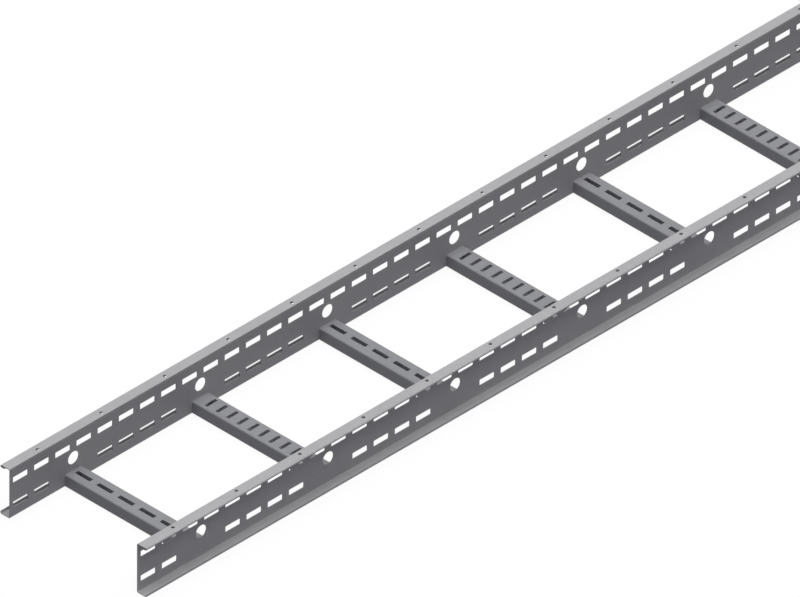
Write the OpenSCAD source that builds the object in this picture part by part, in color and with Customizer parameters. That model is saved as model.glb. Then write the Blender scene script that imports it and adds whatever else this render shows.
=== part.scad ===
// Cable ladder section: two slotted side rails joined by slotted rungs, all folded from sheet steel.
// +X runs along the rails, +Y across them and +Z up. The origin is at the bottom centre.

/* [Section] */
// Length of the section, which is the length of both rails
section_l = 3000; // [1200:150:6000]
// Clear width between the webs of the two rails, which is the length of a rung
clear_w = 300; // [200:50:600]
// Thickness of the sheet that rails and rungs are folded from
sheet_t = 1.5; // [1:0.1:2]

/* [Side rails] */
// Height of a rail
rail_h = 100; // [90:5:150]
// Width of a rail's flanges, over the web
flange_w = 22.5; // [21:0.5:40]
// Height of the lip turned up at the edge of the bottom flange
rail_lip = 5.5; // [4:0.5:10]
// Width of the hem turned under at the edge of the top flange
rail_hem = 9.5; // [5:0.5:9.5]
// Inner radius of the bends between web and flanges
web_bend_r = 1.5; // [1:0.25:4]
// Inner radius of the bends at the flanges' edges
edge_bend_r = 1; // [0.5:0.25:1.5]

/* [Rungs] */
// Distance between rungs, centre to centre
rung_pitch = 300; // [200:50:450]
// Width of a rung, along the rails
rung_w = 40; // [36:1:60]
// Height of a rung, from the rails' underside
rung_h = 25; // [18:1:35]
// Width of the lips turned in at a rung's bottom edges
rung_lip = 10; // [6:1:12]
// Inner radius of a rung's bends
rung_bend_r = 1.5; // [1:0.25:3]

/* [Slots in the rails' webs] */
// Length of a web slot
web_slot_l = 35; // [20:1:40]
// Height of a web slot
web_slot_h = 12; // [6:0.5:14]
// Distance between web slots, centre to centre
web_slot_pitch = 50; // [45:5:100]
// Distance between the two rows of web slots, centre to centre
web_row_gap = 50; // [45:1:55]
// Least web left between a slot of the lower row and a rung's side
rung_margin = 2; // [1:0.5:10]

/* [Round holes in the rails] */
// Diameter of the hole in the web above each rung
web_hole_d = 25; // [10:0.5:28]
// Diameter of the holes in the top flange
flange_hole_d = 6.5; // [3:0.5:6.5]
// Distance between the holes in the top flange, centre to centre
flange_hole_pitch = 150; // [100:25:300]
// Distance from the web's back to the centres of the holes in the top flange
flange_hole_set = 9.5; // [8:0.5:9.5]

/* [Slots in the rungs' tops] */
// Length of a slot that lies along its rung
long_slot_l = 35; // [20:1:40]
// Width of a slot that lies along its rung
long_slot_w = 8.5; // [4:0.5:16]
// Distance between slots that lie along their rung, centre to centre
long_slot_pitch = 50; // [45:5:100]
// Length of a slot that lies across its rung
cross_slot_l = 25; // [12:1:26]
// Width of a slot that lies across its rung
cross_slot_w = 7; // [4:0.5:12]
// Distance between slots that lie across their rung, centre to centre
cross_slot_pitch = 25; // [20:1:50]

/* [All slots] */
// Radius of the corners of every slot
slot_corner_r = 0.8; // [0.4:0.1:1.5]

/* [Finish] */
// Colour of the steel
steel_colour = "darkgray"; // [darkgray, silver, gray, lightslategray]

/* [Hidden] */
rung_count = floor(section_l / rung_pitch);
RUNGS = [for (i = [1:rung_count]) str("rung_", i < 10 ? "0" : "", i)];

$fn = 32;
// How far a cutter runs past the faces that it cuts through
over = 1;

// The places of a row of n like things, pitch apart and centred on zero
function row(n, pitch) = [for (i = [0:n - 1]) (i - (n - 1) / 2) * pitch];

// A row that fills the given length, with half a pitch or more left at both ends
function full_row(length, pitch) = row(floor(length / pitch), pitch);

rung_xs = row(rung_count, rung_pitch);
web_slot_xs = full_row(section_l, web_slot_pitch);
flange_hole_xs = full_row(section_l, flange_hole_pitch);

// A slot of the lower row is left out where it would come too near the end of a rung
rung_keep_out = rung_w / 2 + web_slot_l / 2 + rung_margin;
function clear_of_rungs(x) = min([for (r = rung_xs) abs(x - r)]) >= rung_keep_out;
lower_slot_xs = [for (x = web_slot_xs) if (clear_of_rungs(x)) x];

// What is cut from a square corner at the origin to round it
module corner_waste(r) {
    difference() {
        translate([-over, -over]) square(r + over);
        translate([r, r]) circle(r);
    }
}

// A rectangle from the origin with back_r on its two corners at x = 0, and front_r on the other two
module rounded_rectangle(w, h, back_r, front_r) {
    difference() {
        square([w, h]);
        corner_waste(back_r);
        translate([0, h]) mirror([0, 1]) corner_waste(back_r);
        translate([w, 0]) mirror([1, 0]) corner_waste(front_r);
        translate([w, h]) rotate(180) corner_waste(front_r);
    }
}

// The section of a lipped channel folded from sheet: its back is on x = 0, and its lips are at x = depth
module channel_section(depth, h, lip, back_bend_r, front_bend_r) {
    difference() {
        rounded_rectangle(depth, h, back_bend_r + sheet_t, front_bend_r + sheet_t);
        translate([sheet_t, sheet_t])
            rounded_rectangle(depth - 2 * sheet_t, h - 2 * sheet_t, back_bend_r, front_bend_r);
        translate([depth - sheet_t - over, lip]) square([sheet_t + 2 * over, h - 2 * lip]);
    }
}

// The section of a rail: its back is on x = 0, with a lip at the bottom and a hem at the top of x = flange_w
module rail_section() {
    fold_r = edge_bend_r + sheet_t;
    difference() {
        rounded_rectangle(flange_w, rail_h, web_bend_r + sheet_t, fold_r);
        translate([sheet_t, sheet_t])
            rounded_rectangle(flange_w - 2 * sheet_t, rail_h - 2 * sheet_t, web_bend_r, edge_bend_r);
        translate([flange_w - fold_r, rail_lip]) square([fold_r + over, rail_h]);
    }
    translate([flange_w - fold_r, rail_h - fold_r]) {
        difference() {
            circle(fold_r);
            circle(edge_bend_r);
            translate([-fold_r - over, -fold_r - over]) square([fold_r + over, 2 * (fold_r + over)]);
        }
        translate([fold_r - rail_hem, -fold_r]) square([rail_hem - fold_r, sheet_t]);
    }
}

// A cutter for a slot of size l by w in a sheet, centred on the origin, with its thickness along z
module slot_cutter(l, w) {
    translate([-l / 2, -w / 2, -over])
        linear_extrude(sheet_t + 2 * over) rounded_rectangle(l, w, slot_corner_r, slot_corner_r);
}

// A cutter for a round hole of diameter d in a sheet, centred on the origin, with its thickness along z
module hole_cutter(d) {
    translate([0, 0, -over]) cylinder(d = d, h = sheet_t + 2 * over);
}

// One rail, with the back of its web on y = 0 and its flanges towards +y
module side_rail() {
    mid_z = rail_h / 2;
    difference() {
        rotate([90, 0, 90])
            linear_extrude(section_l, center = true) rail_section();
        for (x = web_slot_xs)
            translate([x, sheet_t, mid_z + web_row_gap / 2])
                rotate([90, 0, 0]) slot_cutter(web_slot_l, web_slot_h);
        for (x = lower_slot_xs)
            translate([x, sheet_t, mid_z - web_row_gap / 2])
                rotate([90, 0, 0]) slot_cutter(web_slot_l, web_slot_h);
        for (x = rung_xs)
            translate([x, sheet_t, mid_z]) rotate([90, 0, 0]) hole_cutter(web_hole_d);
        for (x = flange_hole_xs)
            translate([x, flange_hole_set, rail_h - sheet_t]) hole_cutter(flange_hole_d);
    }
}

module side_rail_left() {
    color(steel_colour) translate([0, clear_w / 2, 0]) side_rail();
}

module side_rail_right() {
    color(steel_colour) mirror([0, 1, 0]) translate([0, clear_w / 2, 0]) side_rail();
}

// Slots along the rung, in one line
module long_slots() {
    for (y = full_row(clear_w, long_slot_pitch))
        translate([0, y, 0]) rotate(90) slot_cutter(long_slot_l, long_slot_w);
}

// Slots across the rung, side by side, with a whole pitch left at both ends
module cross_slots() {
    for (y = row(floor(clear_w / cross_slot_pitch) - 1, cross_slot_pitch))
        translate([0, y, 0]) slot_cutter(cross_slot_l, cross_slot_w);
}

// Rung i, counted from 0: an upturned channel between the webs, level with the rails' underside.
// Its top has slots along it on every other rung from the first, and slots across it on the rest.
module rung(i) {
    color(steel_colour)
        translate([rung_xs[i], 0, 0])
            difference() {
                translate([-rung_w / 2, 0, rung_h])
                    rotate([90, 90, 0])
                        linear_extrude(clear_w, center = true)
                            channel_section(rung_h, rung_w, rung_lip, rung_bend_r, rung_bend_r);
                translate([0, 0, rung_h - sheet_t]) {
                    if (i % 2 == 0) long_slots();
                    else cross_slots();
                }
            }
}

side_rail_left();
side_rail_right();
for (i = [0:rung_count - 1]) {
    rung(i);
}
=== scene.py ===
"""The looks of a cable ladder section: hot-dip galvanised sheet steel on a plain white floor."""

import math

import bpy
from mathutils import Matrix, Vector


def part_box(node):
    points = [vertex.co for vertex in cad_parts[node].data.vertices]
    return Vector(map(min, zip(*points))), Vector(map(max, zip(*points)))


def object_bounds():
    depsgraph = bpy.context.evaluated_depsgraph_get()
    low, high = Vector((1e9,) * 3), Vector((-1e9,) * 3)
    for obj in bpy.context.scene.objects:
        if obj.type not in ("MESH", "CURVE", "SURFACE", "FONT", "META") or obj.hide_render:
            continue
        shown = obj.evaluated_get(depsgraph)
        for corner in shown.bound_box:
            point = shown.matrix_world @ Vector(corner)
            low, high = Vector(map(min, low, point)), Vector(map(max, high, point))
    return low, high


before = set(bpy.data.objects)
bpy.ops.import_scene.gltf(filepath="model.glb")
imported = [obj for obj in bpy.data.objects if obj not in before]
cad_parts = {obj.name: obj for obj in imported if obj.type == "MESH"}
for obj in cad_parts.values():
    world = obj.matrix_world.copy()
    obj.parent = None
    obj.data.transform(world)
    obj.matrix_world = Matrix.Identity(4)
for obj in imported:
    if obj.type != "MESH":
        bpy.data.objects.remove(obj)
cad_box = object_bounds()

RAILS = sorted(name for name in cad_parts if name.startswith("side_rail"))
RUNGS = sorted(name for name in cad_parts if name.startswith("rung"))

# Thickness of the sheet
SHEET = 0.0015

# The camera looks down at the near end in true isometric view, with both rails running up to the right
CAMERA_AZIMUTH = math.radians(-45)
CAMERA_ELEVATION = math.atan(1 / math.sqrt(2))
VIEW_WIDTH = 1.3355
CAMERA_DISTANCE = 6.0
# The point in the middle of the picture, from the near end's middle: along the rails and to the left
AIM_ALONG = 0.861
AIM_LEFT = 0.090

# Linear colours of the zinc. These, the three shares and the lamps were tuned to the picture's grey levels.
RAIL_GREY = (0.503, 0.501, 0.503)
# The rungs' grey is darker than the rails': painted shade on the rungs, which sit low between the rails
RUNG_GREY_WITH_PAINTED_SHADE = (0.322, 0.325, 0.334)
# Shares of those colours: painted shade on the webs' inner faces and on cut walls in the rails, and painted light
# on the rungs' inner faces
WEB_INNER_PAINTED_SHADE = 0.84
CUT_WALL_PAINTED_SHADE = 0.45
RUNG_INNER_PAINTED_LIGHT = 1.8
# Depths into the sheet, as shares of its thickness, that keep a tone off the faces at either side
SKIN = 0.1
END_MARGIN = 0.001

# The floor: how much of it is shaded by the light, and the grey that this light falls on. The open floor gets a
# little less than full light, so this grey is over 1 to bring it back to white. Only rays to the background see it.
SHADOW_SHARE = 0.10
SHADED_GREY = 1.2


class Nodes:
    """A node tree that is written one node at a time."""

    def __init__(self, tree):
        self.tree = tree
        tree.nodes.clear()

    def add(self, kind, inputs=None, **settings):
        node = self.tree.nodes.new(kind)
        for name, value in settings.items():
            setattr(node, name, value)
        for key, value in (inputs or {}).items():
            if isinstance(value, bpy.types.NodeSocket):
                self.tree.links.new(value, node.inputs[key])
            else:
                node.inputs[key].default_value = value
        return node

    def math(self, operation, a, b):
        return self.add("ShaderNodeMath", {0: a, 1: b}, operation=operation).outputs[0]

    def between(self, value, low, high):
        """1 where value lies between low and high, and 0 elsewhere"""
        above = self.math("GREATER_THAN", value, low)
        return self.math("MULTIPLY", above, self.math("LESS_THAN", value, high))

    def remap(self, value, low, high, to_low, to_high):
        """value from low to high becomes to_low to to_high, and is held at both ends"""
        inputs = {"Value": value, "From Min": low, "From Max": high, "To Min": to_low, "To Max": to_high}
        return self.add("ShaderNodeMapRange", inputs).outputs["Result"]

    def noise(self, vector, scale, detail, roughness=0.5):
        inputs = {"Vector": vector, "Scale": scale, "Detail": detail, "Roughness": roughness}
        return self.add("ShaderNodeTexNoise", inputs).outputs["Fac"]


def rail_painted_shade(n, axes):
    """The share of the rails' colour, as painted shade: less on the webs' inner faces, and least on the walls of
    holes and slots
    """
    low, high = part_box(RAILS[0])
    web_inner = min(abs(low[1]), abs(high[1]))
    depth = n.math("SUBTRACT", n.math("ABSOLUTE", axes["Y"], 0.0), web_inner)
    inner_face = n.math("LESS_THAN", depth, SKIN * SHEET)
    inside = n.between(depth, SKIN * SHEET, (1 - SKIN) * SHEET)
    away_from_ends = n.math("LESS_THAN", n.math("ABSOLUTE", axes["X"], 0.0), high[0] - END_MARGIN)
    cut_wall = n.math("MULTIPLY", inside, away_from_ends)
    # Painted shade: the webs' inner faces are darkened
    painted_inner_shade = n.remap(inner_face, 0.0, 1.0, 1.0, WEB_INNER_PAINTED_SHADE)
    # Painted shade: the walls of holes and slots in the rails are darkened
    return n.math("MULTIPLY", painted_inner_shade, n.remap(cut_wall, 0.0, 1.0, 1.0, CUT_WALL_PAINTED_SHADE))


def rung_painted_light(n, axes):
    """The share of the rungs' colour, as painted light: more on the inner faces, whichever rung it is"""
    low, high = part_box(RUNGS[0])
    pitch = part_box(RUNGS[1])[0][0] - low[0]
    from_middle = n.math("PINGPONG", n.math("SUBTRACT", axes["X"], (low[0] + high[0]) / 2), pitch / 2)
    across = n.math("LESS_THAN", from_middle, (high[0] - low[0]) / 2 - (1 - SKIN) * SHEET)
    upright = n.between(axes["Z"], low[2] + SHEET / 2, high[2] - (1 - SKIN) * SHEET)
    # Painted light: the rungs' inner faces are lightened
    return n.remap(n.math("MULTIPLY", across, upright), 0.0, 1.0, 1.0, RUNG_INNER_PAINTED_LIGHT)


def zinc(name, grey, rolled_along, painted_light_and_shade):
    """Dull zinc on sheet that was rolled along x or y: faint crystals, roll streaks and slow clouds.

    The last argument, called with (n, axes), gives the share of the grey at each place: painted shade and painted
    light.
    """
    material = bpy.data.materials.new(name)
    material.use_nodes = True
    n = Nodes(material.node_tree)
    place = n.add("ShaderNodeTexCoord").outputs["Object"]
    axes = n.add("ShaderNodeSeparateXYZ", {"Vector": place}).outputs

    # Zinc crystals about 9 mm across, with edges broken up by a fine noise
    wobble = n.add("ShaderNodeTexNoise", {"Vector": place, "Scale": 160.0, "Detail": 2.0})
    bent = n.add(
        "ShaderNodeVectorMath",
        {0: wobble.outputs["Color"], 1: (0.004, 0.004, 0.004), 2: place},
        operation="MULTIPLY_ADD",
    ).outputs[0]
    crystals = n.add("ShaderNodeTexVoronoi", {"Vector": bent, "Scale": 110.0}, feature="F1")
    crystal = n.add("ShaderNodeSeparateColor", {"Color": crystals.outputs["Color"]}).outputs[0]

    # Streaks that the rolls leave, long in the direction of rolling
    long_axis, short_axis = 6.0, 260.0
    stretch = (long_axis, short_axis, short_axis) if rolled_along == "x" else (short_axis, long_axis, short_axis)
    streak_place = n.add("ShaderNodeVectorMath", {0: place, 1: stretch}, operation="MULTIPLY").outputs[0]
    streaks = n.noise(streak_place, 1.0, 3.0)

    # Slow clouds, and a fine grain
    clouds = n.noise(place, 7.0, 3.0, 0.6)
    grain = n.noise(place, 900.0, 2.0)

    shade = n.math("ADD", n.remap(crystal, 0.0, 1.0, 0.975, 1.025), n.remap(streaks, 0.3, 0.7, -0.018, 0.018))
    shade = n.math("ADD", shade, n.remap(clouds, 0.3, 0.7, -0.03, 0.03))
    shade = n.math("ADD", shade, n.remap(grain, 0.3, 0.7, -0.012, 0.012))
    # Painted shade on the rails' web inner faces and cut walls, and painted light on the rungs' inner faces
    shade = n.math("MULTIPLY", shade, painted_light_and_shade(n, axes))
    colour = n.add("ShaderNodeVectorMath", {0: grey, "Scale": shade}, operation="SCALE").outputs[0]

    roughness = n.math("ADD", n.remap(crystal, 0.0, 1.0, 0.50, 0.60), n.remap(clouds, 0.3, 0.7, -0.04, 0.04))
    height = n.math("ADD", n.math("MULTIPLY", grain, 0.6), n.math("MULTIPLY", streaks, 0.4))
    bump = n.add("ShaderNodeBump", {"Height": height, "Strength": 0.12, "Distance": 0.0002}).outputs[0]

    shader = n.add("ShaderNodeBsdfPrincipled", {"Base Color": colour, "Roughness": roughness, "Normal": bump})
    shader.inputs["Metallic"].default_value = 0.0
    shader.inputs["Specular IOR Level"].default_value = 0.35
    n.add("ShaderNodeOutputMaterial", {"Surface": shader.outputs[0]})
    return material


def coat(names, material):
    for name in names:
        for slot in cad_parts[name].material_slots:
            slot.material = material


def seen_plainly(n):
    """1 for a ray that shows the background: straight to the camera, or by way of a gloss or glass"""
    path = n.add("ShaderNodeLightPath").outputs
    seen = n.math("MAXIMUM", path["Is Camera Ray"], path["Is Glossy Ray"])
    return n.math("MAXIMUM", seen, path["Is Transmission Ray"])


def floor():
    """A white floor just under the rails. It keeps a share of the shadow, and lights the part dimly from below."""
    size = 30.0
    gap = 0.0002
    mesh = bpy.data.meshes.new("floor")
    corners = [(x * size, y * size, cad_box[0][2] - gap) for x, y in ((-1, -1), (1, -1), (1, 1), (-1, 1))]
    mesh.from_pydata(corners, [], [(0, 1, 2, 3)])
    obj = bpy.data.objects.new("floor", mesh)
    bpy.context.scene.collection.objects.link(obj)

    material = bpy.data.materials.new("floor_white")
    material.use_nodes = True
    n = Nodes(material.node_tree)
    lit = n.add("ShaderNodeBsdfDiffuse", {"Color": (SHADED_GREY, SHADED_GREY, SHADED_GREY, 1.0)})
    glow = n.add("ShaderNodeEmission", {"Color": (1.0, 1.0, 1.0, 1.0), "Strength": 1.0})
    seen = n.add("ShaderNodeMixShader", {"Fac": SHADOW_SHARE, 1: glow.outputs[0], 2: lit.outputs[0]})
    dull = n.add("ShaderNodeBsdfDiffuse", {"Color": (0.03, 0.03, 0.03, 1.0)})
    fill = n.add("ShaderNodeEmission", {"Color": (0.97, 0.97, 1.15, 1.0), "Strength": 0.15})
    unseen = n.add("ShaderNodeAddShader", {0: dull.outputs[0], 1: fill.outputs[0]})
    both = n.add("ShaderNodeMixShader", {"Fac": seen_plainly(n), 1: unseen.outputs[0], 2: seen.outputs[0]})
    n.add("ShaderNodeOutputMaterial", {"Surface": both.outputs[0]})
    mesh.materials.append(material)


def sky():
    """A soft dome that is bright overhead and dim at the sides, and white where it is seen"""
    world = bpy.data.worlds.new("sky")
    bpy.context.scene.world = world
    world.use_nodes = True
    n = Nodes(world.node_tree)
    up = n.add("ShaderNodeTexCoord").outputs["Generated"]
    height = n.add("ShaderNodeSeparateXYZ", {"Vector": up}).outputs["Z"]
    glow = n.remap(height, 0.3, 1.0, 0.0, 0.55)
    dome = n.add("ShaderNodeBackground", {"Color": (0.97, 0.97, 1.10, 1.0), "Strength": glow})
    white = n.add("ShaderNodeBackground", {"Strength": 1.0})
    both = n.add("ShaderNodeMixShader", {"Fac": seen_plainly(n), 1: dome.outputs[0], 2: white.outputs[0]})
    n.add("ShaderNodeOutputWorld", {"Surface": both.outputs[0]})


def lamp(name, energy, colour, tilt, spread):
    """A wide soft lamp, tilted from straight above towards the near side; tilt and spread are in degrees"""
    data = bpy.data.lights.new(name, "SUN")
    data.energy = energy
    data.color = colour
    data.angle = math.radians(spread)
    obj = bpy.data.objects.new(name, data)
    obj.rotation_euler = (math.radians(tilt), 0.0, 0.0)
    bpy.context.scene.collection.objects.link(obj)


def camera():
    data = bpy.data.cameras.new("camera")
    data.type = "ORTHO"
    data.ortho_scale = VIEW_WIDTH
    obj = bpy.data.objects.new("camera", data)
    bpy.context.scene.collection.objects.link(obj)
    bpy.context.scene.camera = obj
    low, high = cad_box
    aim = Vector((low[0] + AIM_ALONG, (low[1] + high[1]) / 2 + AIM_LEFT, (low[2] + high[2]) / 2))
    back = Vector((
        math.sin(CAMERA_AZIMUTH) * math.cos(CAMERA_ELEVATION),
        -math.cos(CAMERA_AZIMUTH) * math.cos(CAMERA_ELEVATION),
        math.sin(CAMERA_ELEVATION),
    ))
    turn = back.to_track_quat("Z", "Y").to_matrix().to_4x4()
    obj.matrix_world = Matrix.Translation(aim + back * CAMERA_DISTANCE) @ turn


camera()
coat(RAILS, zinc("rail_zinc", RAIL_GREY, "x", rail_painted_shade))
# The rungs' darker grey is painted shade
coat(RUNGS, zinc("rung_zinc", RUNG_GREY_WITH_PAINTED_SHADE, "y", rung_painted_light))
floor()
sky()
lamp("key", 1.64, (1.0, 1.0, 0.965), 5.0, 50.0)
lamp("fill", 0.16, (0.96, 0.96, 1.15), 45.0, 60.0)
bpy.context.scene.view_settings.view_transform = "Standard"
